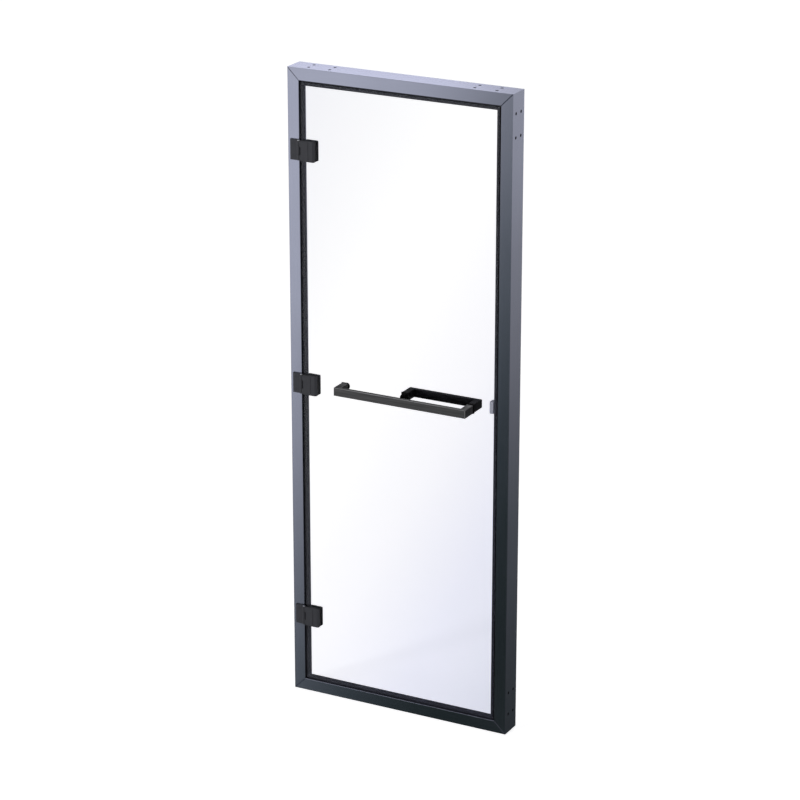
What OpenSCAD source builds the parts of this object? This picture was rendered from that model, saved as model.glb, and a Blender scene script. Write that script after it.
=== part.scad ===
// Steam room door: a glass leaf hung on three pin hinges in a mitred hollow frame.
// X runs from the hinge side to the latch side, Y from the front to the back, Z up.
// The origin is the middle of the sill's bottom face.

/* [Frame] */
// Overall width of the frame
frame_w = 700; // [560:10:1000]
// Overall height of the frame
frame_h = 1900; // [1700:10:2200]
// Depth of the frame from front to back
frame_d = 70; // [60:1:100]
// Width of the frame's front face
face_w = 36; // [32:1:60]
// Width of the chamber behind the stop
rear_w = 21; // [18:1:31]
// Wall thickness of the hollow profile
wall_t = 2.5; // [2:0.1:3.2]
// How far the stop reaches in past the front face
stop_w = 14; // [13:1:24]
// Thickness of the stop
stop_t = 4; // [3.5:0.5:6]
// How far the stop's edge slopes back
stop_slope = 3; // [1:0.5:4]
// Small bevel along the frame's two front edges
face_bevel = 0.8; // [0.3:0.1:1.5]
// Small bevel along the mitres on the front face
mitre_bevel = 1.2; // [0.3:0.1:2]

/* [Corner joints] */
// Distance from a corner to its first screws
screw_inset = 58; // [40:1:80]
// Distance between the two screws along a leg
screw_pitch = 67; // [40:1:80]
// Distance between the two rows of screws
screw_row = 31; // [24:1:36]
// Plate thickness of a corner cleat
cleat_t = 6; // [4:0.5:8]
// Inside gusset of a corner cleat
cleat_gusset = 12; // [6:1:14]
// How far a cleat's leg runs past its last screws
cleat_end = 22; // [10:1:40]
// Head diameter of a corner screw
screw_head_d = 9; // [8:0.5:10]
// Shank diameter of a corner screw
screw_d = 5; // [4:0.5:6]

/* [Glass] */
// Thickness of the glass
glass_t = 8; // [6:1:12]
// How far the glass lies behind the frame's front face
glass_recess = 1; // [0.5:0.5:6]
// Gap between the glass edge and the frame
edge_gap = 4; // [3:0.5:6]
// Ground bevel along the glass edges
arris = 1; // [0.5:0.1:1.5]

/* [Seal] */
// Thickness of the seal's base strip
seal_base = 2; // [1.8:0.1:3]
// Radius of the seal's two beads
bead_r = 1.7; // [1.2:0.1:1.7]
// Gap between the beads and the closed glass
seal_gap = 0.3; // [0.3:0.1:1]
// Width of the groove that holds the seal
groove_w = 4; // [3:0.5:5]
// Depth of the groove that holds the seal
groove_d = 2; // [1.5:0.1:2.5]
// Thickness of the lip that covers the edge of the stop
seal_lip = 1.2; // [0.8:0.1:2]

/* [Hinges] */
// Distance from the frame's top to the top hinge
hinge_top = 235; // [200:5:320]
// Height of the middle hinge
hinge_mid_z = 971; // [800:1:1100]
// Height of the bottom hinge
hinge_bottom = 245; // [200:5:320]
// Height of a frame leaf
leaf_h = 60; // [54:1:80]
// Thickness of a frame leaf
leaf_t = 5; // [4:0.5:6]
// Distance from the frame's outer edge to a frame leaf
leaf_inset = 9; // [4:0.5:10]
// Bevel along a leaf's front edges
leaf_bevel = 1; // [0.5:0.1:1.5]
// Diameter of the knuckles
knuckle_d = 11; // [10.4:0.2:13]
// Height of the frame leaf's knuckle
mid_knuckle_h = 22; // [16:1:26]
// Distance from the frame's inner edge to the pin axis
axis_in = 2.5; // [2:0.5:4]
// Gap between the knuckles and the frame's face
axis_lift = 1; // [0.5:0.1:2]
// Diameter of a hinge pin
pin_d = 6; // [5:0.5:6]
// Diameter of a hinge pin's head
pin_head_d = 8.6; // [7.6:0.1:10]
// Thickness of a hinge pin's head
pin_head_t = 1.6; // [1:0.1:3]
// Outer diameter of a hinge bush
bush_d = 8.4; // [7.6:0.1:9]
// Diameter of a bush's flange
flange_d = 10.2; // [9.4:0.1:10.4]
// Thickness of a bush's flange
flange_t = 0.8; // [0.6:0.1:1.2]
// Height between the two screws of a frame leaf
leaf_screw_pitch = 36; // [28:1:40]
// Head diameter of a leaf screw
leaf_screw_head_d = 9.6; // [8:0.1:10]
// Width of the tapped plate behind a leaf
backing_w = 17; // [12:1:20]
// Thickness of the tapped plate behind a leaf
backing_t = 4; // [3:0.5:6]

/* [Clamps] */
// Height of a glass clamp
clamp_h = 60; // [60:1:80]
// Distance from the pin axis to the clamp's far end
clamp_reach = 52.5; // [46:0.5:70]
// Thickness of the outer clamp plate
clamp_t = 10.5; // [8:0.5:11]
// Height of the raised boss next to the pin
boss_h = 56; // [50:1:60]
// Distance from the pin axis to the boss's end
boss_reach = 32; // [20:0.5:36]
// Width of the sloping face at the clamp's far end
bevel_w = 8; // [4:0.5:10]
// Depth of the sloping face at the clamp's far end
bevel_d = 3; // [1:0.5:4]
// Radius of the clamp's far corners
corner_r = 5; // [2:0.5:8]
// Thickness of the inner clamp plate
back_t = 7; // [6:0.5:10]
// Gap between the inner clamp plate and the seal's lip
back_gap = 3; // [2:0.5:6]
// Thickness of the clamp gaskets
gasket_t = 1; // [0.5:0.1:1.5]
// Diameter of a clamp screw
clamp_screw_d = 6; // [5:0.5:6]
// Head diameter of a clamp screw
clamp_screw_head_d = 11; // [9:0.5:12]
// Solid metal in front of a clamp screw's end
clamp_skin = 3; // [2:0.5:4]
// Height between the two screws of a clamp
clamp_screw_pitch = 32; // [26:1:38]
// Diameter of the holes through the glass
glass_hole_d = 14; // [12.5:0.5:18]

/* [Handles] */
// Height of both handles
handle_z = 982; // [850:1:1100]
// Distance from the glass's latch edge to the shared post
handle_inset = 82; // [60:1:120]
// Distance between the posts of the towel bar
towel_span = 400; // [260:5:420]
// Distance between the posts of the inner handle
grip_span = 210; // [150:5:240]
// Height of the handles' flat bar
bar_h = 25; // [20:1:32]
// Thickness of the handles' flat bar
bar_t = 12; // [8:1:16]
// Width of a handle post
post_w = 20; // [16:1:26]
// How far a handle stands off the glass
bar_reach = 52; // [45:1:70]
// Bevel along the handles' outer edges
bar_bevel = 0.8; // [0.4:0.1:1.5]
// Diameter of the handle studs
stud_d = 8; // [6:0.5:9]
// How far a stud reaches into a post
stud_bite = 16; // [10:1:24]
// Thickness of the plates between posts and glass
rosette_t = 1.5; // [1:0.1:3]
// How far those plates show round a post
rosette_edge = 1; // [0.5:0.1:3]
// Diameter of the round caps on the single posts' studs
cap_d = 20; // [18:0.5:26]
// Thickness of the round caps
cap_t = 6; // [5:0.5:10]
// Thickness of the round seats under the caps
cap_seat_t = 1; // [0.5:0.1:2]
// Solid metal in front of a stud's end in a cap
cap_skin = 2; // [1.5:0.1:3]

/* [Catch] */
// Height of the catch's middle
catch_z = 994; // [850:1:1100]
// Height of the catch
catch_h = 35; // [30:1:50]
// Width of the catch's nose
catch_w = 11; // [10:0.5:16]
// Gap between the catch's nose and the seal's lip
catch_gap = 1.5; // [1:0.1:3]
// Depth of the catch's body behind the stop
catch_d = 14; // [12:1:18]
// Housing wall round the magnet
magnet_rim = 2; // [1.5:0.1:3]
// Height of the magnet
magnet_h = 24; // [16:1:26]
// Thickness of the magnet
magnet_t = 5; // [3:0.5:7]
// Thickness of the steel strike on the glass
strike_t = 1.2; // [0.8:0.1:2]
// Diameter of a catch screw
catch_screw_d = 4; // [3:0.5:4.5]
// Height between the two catch screws
catch_screw_pitch = 21; // [16:1:22]
// Thickness of the housing under a catch screw's head
catch_grip_t = 6; // [3:0.5:12]

/* [Fits] */
// Clearance round pieces that are fitted together
fit = 0.1; // [0.05:0.01:0.2]
// Radial clearance of a pin in its bush
running = 0.05; // [0.02:0.01:0.1]
// Clearance between faces that pass each other
play = 0.3; // [0.2:0.05:0.5]

/* [Hidden] */
$fn = 48;

// Colours of the finishes
frame_colour = [0.46, 0.48, 0.57];
black_metal = [0.10, 0.10, 0.11];
black_rubber = [0.06, 0.06, 0.07];
steel = [0.72, 0.72, 0.74];
catch_grey = [0.52, 0.53, 0.58];
nylon = [0.85, 0.85, 0.83];
black_nylon = [0.14, 0.14, 0.15];
glass_tint = [0.86, 0.88, 0.94, 0.4];

// How far cutters run past the faces that they cut
over = 1;

// Depths from the front face: the glass, the seal and the stop lie one behind the other
glass_back = glass_recess + glass_t;
seal_h = seal_base + bead_r;
rebate_d = glass_back + seal_gap + seal_h;
stop_back = rebate_d + stop_t;
stop_edge = face_w + stop_w;
mitre_reach = stop_edge + seal_lip + over;

// Outline of the glass
glass_inset = face_w + edge_gap;
glass_w = frame_w - 2 * glass_inset;
glass_h = frame_h - 2 * glass_inset;

// Hinge places, in a frame of their own with the pin axis at x = 0, y = 0
hinge_u = face_w + axis_in;
face_dy = axis_lift + knuckle_d / 2;
hinge_zs = [frame_h - hinge_top, hinge_mid_z, hinge_bottom];
leaf_x0 = leaf_inset - hinge_u;
leaf_x1 = -knuckle_d / 2 - play;
leaf_front = face_dy - leaf_t;
leaf_screw_x = (leaf_x0 + leaf_x1) / 2;
slot_half = mid_knuckle_h / 2 + play + flange_t;
slot_clear = 2;
slot_reach = knuckle_d / 2 + slot_clear;
pin_recess = 0.5;
pin_end = boss_h / 2 - pin_recess;

// Clamp depths in the hinge's frame
clamp_back_y = face_dy + glass_recess - gasket_t;
clamp_front_y = clamp_back_y - clamp_t;
boss_set = 0.5;
boss_front_y = boss_set - knuckle_d / 2;
boss_x0 = knuckle_d / 2 - 2 * boss_set;
inner_x0 = stop_edge + seal_lip + back_gap - hinge_u;
inner_y0 = face_dy + glass_back + gasket_t;
inner_y1 = inner_y0 + back_t;
clamp_screw_x = (inner_x0 + clamp_reach) / 2;
clamp_screw_bite = clamp_t - clamp_skin;

// Handle places
post_x = frame_w / 2 - glass_inset - handle_inset;
glass_front_y = glass_recess - frame_d / 2;
glass_back_y = glass_back - frame_d / 2;
handle_bolt_xs = [post_x, post_x - towel_span, post_x - grip_span];
cap_bite = cap_t - cap_skin;

// Catch places, measured in from the latch side
nose_u0 = stop_edge + seal_lip + catch_gap;
nose_u1 = nose_u0 + catch_w;
nose_front = glass_back + strike_t + play;
catch_body_front = stop_back + play;
catch_body_back = catch_body_front + catch_d;
magnet_w = catch_w - 2 * magnet_rim;
catch_screw_v = catch_body_front + catch_d / 2;
catch_screw_bite = 3;
catch_screw_head = catch_screw_d * 1.9;
catch_screw_head_t = catch_screw_d * 0.7;

// Shared shapes

// Frames of reference with u measured in from an outer side and v back from the front face
module hinge_side() translate([-frame_w / 2, -frame_d / 2, 0]) children();
module latch_side() mirror([1, 0, 0]) hinge_side() children();
module bottom_side() translate([frame_w / 2, -frame_d / 2, 0]) rotate([0, -90, 0]) children();
module top_side() translate([0, 0, frame_h]) mirror([0, 0, 1]) bottom_side() children();

// Frame of reference on a hinge's pin axis
module at_pin(z) translate([-frame_w / 2 + hinge_u, -frame_d / 2 - face_dy, z]) children();

// Frame of reference on the glass at a handle bolt, with z pointing out of the front
module at_bolt(x, y) translate([x, y, handle_z]) rotate([90, 0, 0]) children();

// Plate with its front edges bevelled; y0 is the bevelled side
module bevelled_plate(x0, x1, h, y0, y1, bevel) {
  intersection() {
    linear_extrude(h, center = true)
      polygon([[x0, y1], [x0, y0 + bevel], [x0 + bevel, y0], [x1 - bevel, y0], [x1, y0 + bevel], [x1, y1]]);
    translate([x0 - over, 0, 0]) rotate([90, 0, 90]) linear_extrude(x1 - x0 + 2 * over)
      polygon([[y1, -h / 2], [y0 + bevel, -h / 2], [y0, bevel - h / 2],
               [y0, h / 2 - bevel], [y0 + bevel, h / 2], [y1, h / 2]]);
  }
}

// Countersunk screw with its head's top at z = 0 and its shank down -z
module countersunk_screw(head_d, shank_d, length) {
  head_t = (head_d - shank_d) / 2;
  difference() {
    union() {
      translate([0, 0, -head_t]) cylinder(head_t, d1 = shank_d, d2 = head_d);
      translate([0, 0, -length]) cylinder(length - head_t, d = shank_d);
    }
    translate([0, 0, -head_t * 0.7]) cylinder(head_t, d = shank_d * 0.66, $fn = 6);
  }
}

// Hole for that screw, with the given clearance round it
module countersunk_hole(head_d, shank_d, length, gap) {
  head_t = (head_d - shank_d) / 2;
  translate([0, 0, -head_t]) cylinder(head_t, d1 = shank_d + 2 * gap, d2 = head_d + 2 * gap);
  translate([0, 0, -length]) cylinder(length - head_t / 2, d = shank_d + 2 * gap);
  cylinder(over, d = head_d + 2 * gap);
}

// Frame members

// Section of the hollow frame profile: front chamber, stop with its groove, rear chamber
module frame_section() {
  groove_u = face_w + stop_w / 2 - groove_w / 2;
  difference() {
    polygon([[face_bevel, 0], [face_w - face_bevel, 0], [face_w, face_bevel], [face_w, rebate_d],
             [stop_edge, rebate_d], [stop_edge - stop_slope, stop_back], [rear_w, stop_back],
             [rear_w, frame_d], [0, frame_d], [0, face_bevel]]);
    polygon([[wall_t, wall_t], [face_w - wall_t, wall_t], [face_w - wall_t, stop_back - wall_t],
             [rear_w - wall_t, stop_back - wall_t], [rear_w - wall_t, frame_d - wall_t],
             [wall_t, frame_d - wall_t]]);
    translate([groove_u, rebate_d - over]) square([groove_w, groove_d + over]);
  }
}

// Straight run of a section along one side, cut at 45 degrees at both ends
module mitred_run(length) {
  intersection() {
    linear_extrude(length) children();
    translate([0, frame_d + over, 0]) rotate([90, 0, 0]) linear_extrude(frame_d + 2 * over)
      polygon([[0, 0], [mitre_reach, mitre_reach], [mitre_reach, length - mitre_reach], [0, length]]);
  }
}

// Places of the corner screws along a side, each with its axis pointing out of the outer face
module at_corner_screws(length) {
  for (end = [0, 1], row = [-1, 1], step = [0, 1]) {
    run = screw_inset + step * screw_pitch;
    translate([0, frame_d / 2 + row * screw_row / 2, end == 0 ? run : length - run])
      rotate([0, -90, 0]) children();
  }
}

// Square bar along a mitre's front edge, set on its corner, that leaves a fine groove between two members
module mitre_groove() rotate([0, -45, 0]) rotate([45, 0, 0])
  cube([4 * face_w, mitre_bevel * sqrt(2), mitre_bevel * sqrt(2)], center = true);

// One frame member with its bevelled mitres and its corner screw holes
module frame_member(length) {
  difference() {
    mitred_run(length) frame_section();
    for (end = [0, 1]) translate([0, 0, end * length]) mirror([0, 0, end]) mitre_groove();
    at_corner_screws(length) countersunk_hole(screw_head_d, screw_d, wall_t + over, fit);
  }
}

module frame_head() color(frame_colour) top_side() frame_member(frame_w);

module frame_sill() color(frame_colour) bottom_side() frame_member(frame_w);

module hinge_jamb() color(frame_colour) difference() {
  hinge_side() frame_member(frame_h);
  for (z = hinge_zs) at_pin(z) at_leaf_screws()
    translate([0, 0, -leaf_t - wall_t - over]) cylinder(wall_t + 2 * over, d = screw_d + 2 * fit);
}

module latch_jamb() color(frame_colour) latch_side() difference() {
  frame_member(frame_h);
  at_catch_screws() translate([0, 0, -catch_grip_t - wall_t - over])
    cylinder(wall_t + 2 * over, d = catch_screw_d + 2 * fit);
}

// Corner joints

// Angle plate that lies in the chambers of two members, against their outer walls
module corner_cleat() {
  leg = screw_inset + screw_pitch + cleat_end;
  seat = wall_t + fit;
  depth = frame_d - 2 * seat;
  difference() {
    translate([seat, frame_d - seat, seat]) rotate([90, 0, 0]) linear_extrude(depth)
      polygon([[0, 0], [leg, 0], [leg, cleat_t], [cleat_t + cleat_gusset, cleat_t],
               [cleat_t, cleat_t + cleat_gusset], [cleat_t, leg], [0, leg]]);
    for (row = [-1, 1], step = [0, 1]) {
      run = screw_inset + step * screw_pitch;
      v = frame_d / 2 + row * screw_row / 2;
      translate([run, v, seat - over]) cylinder(cleat_t + 2 * over, d = screw_d + fit);
      translate([seat - over, v, run]) rotate([0, 90, 0])
        cylinder(cleat_t + 2 * over, d = screw_d + fit);
    }
  }
}

module upside_down() translate([0, 0, frame_h]) mirror([0, 0, 1]) children();

module corner_cleat_top_left() color(steel) upside_down() hinge_side() corner_cleat();
module corner_cleat_top_right() color(steel) upside_down() latch_side() corner_cleat();
module corner_cleat_bottom_left() color(steel) hinge_side() corner_cleat();
module corner_cleat_bottom_right() color(steel) latch_side() corner_cleat();

module corner_screw() translate([0, 0, -fit])
  countersunk_screw(screw_head_d, screw_d, wall_t + cleat_t);

module corner_screws() color(black_metal) {
  hinge_side() at_corner_screws(frame_h) corner_screw();
  latch_side() at_corner_screws(frame_h) corner_screw();
  bottom_side() at_corner_screws(frame_w) corner_screw();
  top_side() at_corner_screws(frame_w) corner_screw();
}

// Seal

// Section of the seal: a base strip on the stop, a tongue in its groove, two beads,
// and a lip that covers the stop's edge
module seal_section() {
  base_u = face_w + play;
  base_w = stop_w - play;
  tongue_w = groove_w - 2 * fit;
  translate([base_u, rebate_d - seal_base]) square([base_w + seal_lip, seal_base]);
  polygon([[stop_edge, rebate_d - seal_base], [stop_edge + seal_lip, rebate_d - seal_base],
           [stop_edge + seal_lip, rebate_d], [stop_edge + seal_lip - stop_slope, stop_back],
           [stop_edge - stop_slope, stop_back], [stop_edge, rebate_d]]);
  translate([face_w + stop_w / 2 - tongue_w / 2, rebate_d - seal_base / 2])
    square([tongue_w, groove_d + seal_base / 2 - fit]);
  for (side = [-1, 1]) translate([base_u + base_w / 2 + side * base_w / 4, rebate_d - seal_base])
    circle(bead_r);
}

module seal_head() color(black_rubber) top_side() mitred_run(frame_w) seal_section();
module seal_sill() color(black_rubber) bottom_side() mitred_run(frame_w) seal_section();
module seal_hinge_side() color(black_rubber) hinge_side() mitred_run(frame_h) seal_section();
module seal_latch_side() color(black_rubber) latch_side() mitred_run(frame_h) seal_section();

// Hinges

// Places of a leaf's two screws, on the leaf's front with the axis pointing out of it
module at_leaf_screws() for (s = [-1, 1])
  translate([leaf_screw_x, leaf_front, s * leaf_screw_pitch / 2]) rotate([90, 0, 0]) children();

// Frame leaf: a bevelled plate with one knuckle at mid height
module hinge_leaf() {
  web_t = leaf_t * 0.68;
  web_root = 2;
  difference() {
    union() {
      bevelled_plate(leaf_x0, leaf_x1, leaf_h, leaf_front, face_dy, leaf_bevel);
      cylinder(mid_knuckle_h, d = knuckle_d, center = true);
      translate([leaf_x1 - web_root, leaf_front, -mid_knuckle_h / 2])
        cube([web_root - leaf_x1, web_t, mid_knuckle_h]);
    }
    cylinder(mid_knuckle_h + 2 * over, d = pin_d + fit / 2, center = true);
    at_leaf_screws() countersunk_hole(leaf_screw_head_d, screw_d, leaf_t + over, fit);
  }
}

module hinge_leaf_top() color(black_metal) at_pin(hinge_zs[0]) hinge_leaf();
module hinge_leaf_middle() color(black_metal) at_pin(hinge_zs[1]) hinge_leaf();
module hinge_leaf_bottom() color(black_metal) at_pin(hinge_zs[2]) hinge_leaf();

// Pin with a flat bevelled head above the upper knuckle
module hinge_pin() {
  bevel = 0.5;
  head_z = boss_h / 2 + play;
  translate([0, 0, -pin_end]) cylinder(pin_end + head_z, d = pin_d);
  translate([0, 0, head_z]) {
    cylinder(pin_head_t - bevel, d = pin_head_d);
    translate([0, 0, pin_head_t - bevel])
      cylinder(bevel, d1 = pin_head_d, d2 = pin_head_d - 2 * bevel);
  }
}

module hinge_pin_top() color(steel) at_pin(hinge_zs[0]) hinge_pin();
module hinge_pin_middle() color(steel) at_pin(hinge_zs[1]) hinge_pin();
module hinge_pin_bottom() color(steel) at_pin(hinge_zs[2]) hinge_pin();

// Tapped plates in the jamb's chamber that the leaf screws pull against
module hinge_backing_plates() color(steel) for (z = hinge_zs) at_pin(z) difference() {
  translate([leaf_screw_x - backing_w / 2, face_dy + wall_t, -leaf_h / 2])
    cube([backing_w, backing_t, leaf_h]);
  at_leaf_screws() translate([0, 0, -leaf_t - wall_t - backing_t - over])
    cylinder(backing_t + 2 * over, d = screw_d + fit);
}

module hinge_leaf_screws() color(black_metal) for (z = hinge_zs) at_pin(z) at_leaf_screws()
  translate([0, 0, -fit]) countersunk_screw(leaf_screw_head_d, screw_d, leaf_t + wall_t + backing_t);

// Flanged bushes: one in each of a clamp's two knuckles, with the flange towards the leaf's knuckle
module hinge_bushes() color(black_nylon) for (z = hinge_zs, side = [0, 1])
  at_pin(z) mirror([0, 0, side]) difference() {
    union() {
      translate([0, 0, slot_half - flange_t]) cylinder(flange_t, d = flange_d);
      translate([0, 0, slot_half - flange_t]) cylinder(pin_end - slot_half + flange_t, d = bush_d);
    }
    cylinder(boss_h, d = pin_d + 2 * running);
  }

// Glass clamps

// Places of a clamp's two screws, on the glass's back face with the axis pointing backwards
module at_clamp_screws() for (s = [-1, 1])
  translate([clamp_screw_x, face_dy + glass_back, s * clamp_screw_pitch / 2])
    rotate([-90, 0, 0]) children();

// Outline of a clamp plate in x and z, with its two far corners rounded
module clamp_outline(x0) {
  straight = clamp_reach - corner_r - x0;
  union() {
    translate([x0, -clamp_h / 2]) square([straight, clamp_h]);
    translate([x0, corner_r - clamp_h / 2]) square([clamp_reach - x0, clamp_h - 2 * corner_r]);
    for (s = [-1, 1]) translate([clamp_reach - corner_r, s * (clamp_h / 2 - corner_r)])
      circle(corner_r);
  }
}

// Outline carried through the plate's thickness, from y0 to y1
module clamp_blank(x0, y0, y1) translate([0, y1, 0]) rotate([90, 0, 0])
  linear_extrude(y1 - y0) clamp_outline(x0);

// Outer clamp: a plate with a sloping far end, a raised boss and two knuckles on the pin
module clamp_front() {
  knuckle_web = knuckle_d * 0.76;
  difference() {
    union() {
      intersection() {
        clamp_blank(slot_reach, clamp_front_y - over, clamp_back_y);
        linear_extrude(clamp_h + 2 * over, center = true)
          polygon([[boss_x0, clamp_back_y], [boss_x0, clamp_front_y],
                   [clamp_reach - bevel_w, clamp_front_y],
                   [clamp_reach + over, clamp_front_y + bevel_d * (bevel_w + over) / bevel_w],
                   [clamp_reach + over, clamp_back_y]]);
      }
      bevelled_plate(boss_x0, boss_reach, boss_h, boss_front_y, clamp_back_y, leaf_bevel);
      for (side = [0, 1]) mirror([0, 0, side]) {
        translate([0, 0, slot_half]) cylinder(boss_h / 2 - slot_half, d = knuckle_d);
        translate([0, -knuckle_web / 2, slot_half])
          cube([boss_x0 + over, knuckle_web, boss_h / 2 - slot_half]);
      }
    }
    translate([-knuckle_d, boss_front_y - over, -slot_half])
      cube([knuckle_d + slot_reach, clamp_back_y - boss_front_y + 2 * over, 2 * slot_half]);
    cylinder(boss_h + 2 * over, d = bush_d + fit, center = true);
    at_clamp_screws() translate([0, 0, -glass_t - gasket_t - clamp_screw_bite])
      cylinder(clamp_screw_bite + over, d = clamp_screw_d + fit);
  }
}

module clamp_front_top() color(black_metal) at_pin(hinge_zs[0]) clamp_front();
module clamp_front_middle() color(black_metal) at_pin(hinge_zs[1]) clamp_front();
module clamp_front_bottom() color(black_metal) at_pin(hinge_zs[2]) clamp_front();

// Inner clamp: a bevelled plate with rounded far corners and countersunk screws
module clamp_back() difference() {
  intersection() {
    clamp_blank(inner_x0, inner_y0, inner_y1);
    mirror([0, 1, 0]) bevelled_plate(inner_x0, clamp_reach, clamp_h, -inner_y1, -inner_y0, leaf_bevel);
  }
  at_clamp_screws() translate([0, 0, gasket_t + back_t])
    countersunk_hole(clamp_screw_head_d, clamp_screw_d, back_t + over, fit);
}

module clamp_back_top() color(black_metal) at_pin(hinge_zs[0]) clamp_back();
module clamp_back_middle() color(black_metal) at_pin(hinge_zs[1]) clamp_back();
module clamp_back_bottom() color(black_metal) at_pin(hinge_zs[2]) clamp_back();

// Gaskets between the clamp plates and the glass, set in from the plates' edges
module clamp_gasket(x0, y0, h) {
  set_in = 1;
  difference() {
    translate([x0 + set_in, y0, set_in - h / 2])
      cube([clamp_reach - corner_r - x0 - set_in, gasket_t, h - 2 * set_in]);
    at_clamp_screws() translate([0, 0, -glass_t - 2 * gasket_t])
      cylinder(glass_t + 4 * gasket_t, d = clamp_screw_d + 4 * fit);
  }
}

module clamp_gaskets_outer() color(black_rubber) for (z = hinge_zs) at_pin(z)
  clamp_gasket(slot_reach, clamp_back_y, boss_h);
module clamp_gaskets_inner() color(black_rubber) for (z = hinge_zs) at_pin(z)
  clamp_gasket(inner_x0, face_dy + glass_back, clamp_h);

// Sleeves that keep the screws off the glass
module clamp_sleeves() color(nylon) for (z = hinge_zs) at_pin(z) at_clamp_screws()
  translate([0, 0, -glass_t]) difference() {
    cylinder(glass_t, d = glass_hole_d - 4 * fit);
    translate([0, 0, -over]) cylinder(glass_t + 2 * over, d = clamp_screw_d + 4 * fit);
  }

module clamp_screws() color(black_metal) for (z = hinge_zs) at_pin(z) at_clamp_screws() {
  grip = back_t + 2 * gasket_t + glass_t;
  translate([0, 0, gasket_t + back_t - fit])
    countersunk_screw(clamp_screw_head_d, clamp_screw_d, grip + clamp_screw_bite - 2 * fit);
}

// Glass

// Pane with ground edges and its holes for the clamps and the handles
module glass_pane() color(glass_tint) difference() {
  translate([0, 0, frame_h / 2]) intersection() {
    linear_extrude(glass_h, center = true) glass_edge_section(glass_w);
    rotate([0, 90, 0]) linear_extrude(glass_w, center = true) glass_edge_section(glass_h);
  }
  for (z = hinge_zs) at_pin(z) at_clamp_screws()
    translate([0, 0, -glass_t - over]) cylinder(glass_t + 2 * over, d = glass_hole_d);
  for (x = handle_bolt_xs) at_bolt(x, glass_back_y + over)
    cylinder(glass_t + 2 * over, d = glass_hole_d);
}

// Section of the pane across its thickness, with its edges ground off
module glass_edge_section(width) {
  half = width / 2;
  polygon([[-half, glass_front_y + arris], [arris - half, glass_front_y], [half - arris, glass_front_y],
           [half, glass_front_y + arris], [half, glass_back_y - arris], [half - arris, glass_back_y],
           [arris - half, glass_back_y], [-half, glass_back_y - arris]]);
}

// Handles

// Flat bar on two posts; y runs from the seat on the glass towards the bar
module bar_handle(span) {
  half = span / 2 + post_w / 2;
  reach = bar_reach - rosette_t;
  inner_half = span / 2 - post_w / 2;
  difference() {
    linear_extrude(bar_h, center = true)
      polygon([[-half, 0], [-half, reach], [half, reach], [half, 0], [inner_half, 0],
               [inner_half, reach - bar_t], [-inner_half, reach - bar_t], [-inner_half, 0]]);
    for (s = [-1, 1]) {
      translate([0, reach, s * bar_h / 2]) rotate([45, 0, 0])
        cube([2 * (half + over), bar_bevel * sqrt(2), bar_bevel * sqrt(2)], center = true);
      translate([s * span / 2, -over, 0]) rotate([-90, 0, 0])
        cylinder(stud_bite + over + fit, d = stud_d + fit);
    }
  }
}

module towel_bar() color(black_metal)
  translate([post_x - towel_span / 2, glass_front_y - rosette_t, handle_z])
    mirror([0, 1, 0]) bar_handle(towel_span);

module inner_handle() color(black_metal)
  translate([post_x - grip_span / 2, glass_back_y + rosette_t, handle_z]) bar_handle(grip_span);

// Studs through the glass: one between the shared posts, and one from each single post to its cap
module handle_studs() color(steel) {
  post_bite = rosette_t + stud_bite;
  cap_side = cap_seat_t + cap_bite;
  single_l = glass_t + post_bite + cap_side;
  at_bolt(handle_bolt_xs[0], glass_back_y + post_bite) cylinder(glass_t + 2 * post_bite, d = stud_d);
  at_bolt(handle_bolt_xs[1], glass_back_y + cap_side) cylinder(single_l, d = stud_d);
  at_bolt(handle_bolt_xs[2], glass_back_y + post_bite) cylinder(single_l, d = stud_d);
}

// Sleeves round the studs in the glass
module handle_sleeves() color(nylon) for (x = handle_bolt_xs) at_bolt(x, glass_back_y) difference() {
  cylinder(glass_t, d = glass_hole_d - 4 * fit);
  translate([0, 0, -over]) cylinder(glass_t + 2 * over, d = stud_d + 2 * fit);
}

// Thin plate under a post, a little larger than the post
module post_rosette() difference() {
  linear_extrude(rosette_t)
    square([post_w + 2 * rosette_edge, bar_h + 2 * rosette_edge], center = true);
  translate([0, 0, -over]) cylinder(rosette_t + 2 * over, d = stud_d + 2 * fit);
}

// Round seat under a cap
module cap_rosette() difference() {
  cylinder(cap_seat_t, d = cap_d + 2 * rosette_edge);
  translate([0, 0, -over]) cylinder(cap_seat_t + 2 * over, d = stud_d + 2 * fit);
}

module handle_rosettes() color(black_rubber) {
  for (x = [handle_bolt_xs[0], handle_bolt_xs[1]]) at_bolt(x, glass_front_y) post_rosette();
  for (x = [handle_bolt_xs[0], handle_bolt_xs[2]]) at_bolt(x, glass_back_y + rosette_t) post_rosette();
  at_bolt(handle_bolt_xs[1], glass_back_y + cap_seat_t) cap_rosette();
  at_bolt(handle_bolt_xs[2], glass_front_y) cap_rosette();
}

// Round cap with a bevelled rim and a blind threaded hole
module stud_cap() {
  bevel = 1.2;
  difference() {
    union() {
      cylinder(cap_t - bevel, d = cap_d);
      translate([0, 0, cap_t - bevel]) cylinder(bevel, d1 = cap_d, d2 = cap_d - 2 * bevel);
    }
    translate([0, 0, -over]) cylinder(cap_bite + over + fit, d = stud_d + fit);
  }
}

module towel_bar_cap() color(black_metal)
  translate([handle_bolt_xs[1], glass_back_y + cap_seat_t, handle_z]) rotate([-90, 0, 0]) stud_cap();
module inner_handle_cap() color(black_metal)
  at_bolt(handle_bolt_xs[2], glass_front_y - cap_seat_t) stud_cap();

// Catch

// Places of the catch's two screws, on the grip face with the axis pointing away from the jamb
module at_catch_screws() for (s = [-1, 1])
  translate([rear_w + catch_grip_t, catch_screw_v, catch_z + s * catch_screw_pitch / 2])
    rotate([0, 90, 0]) children();

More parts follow.
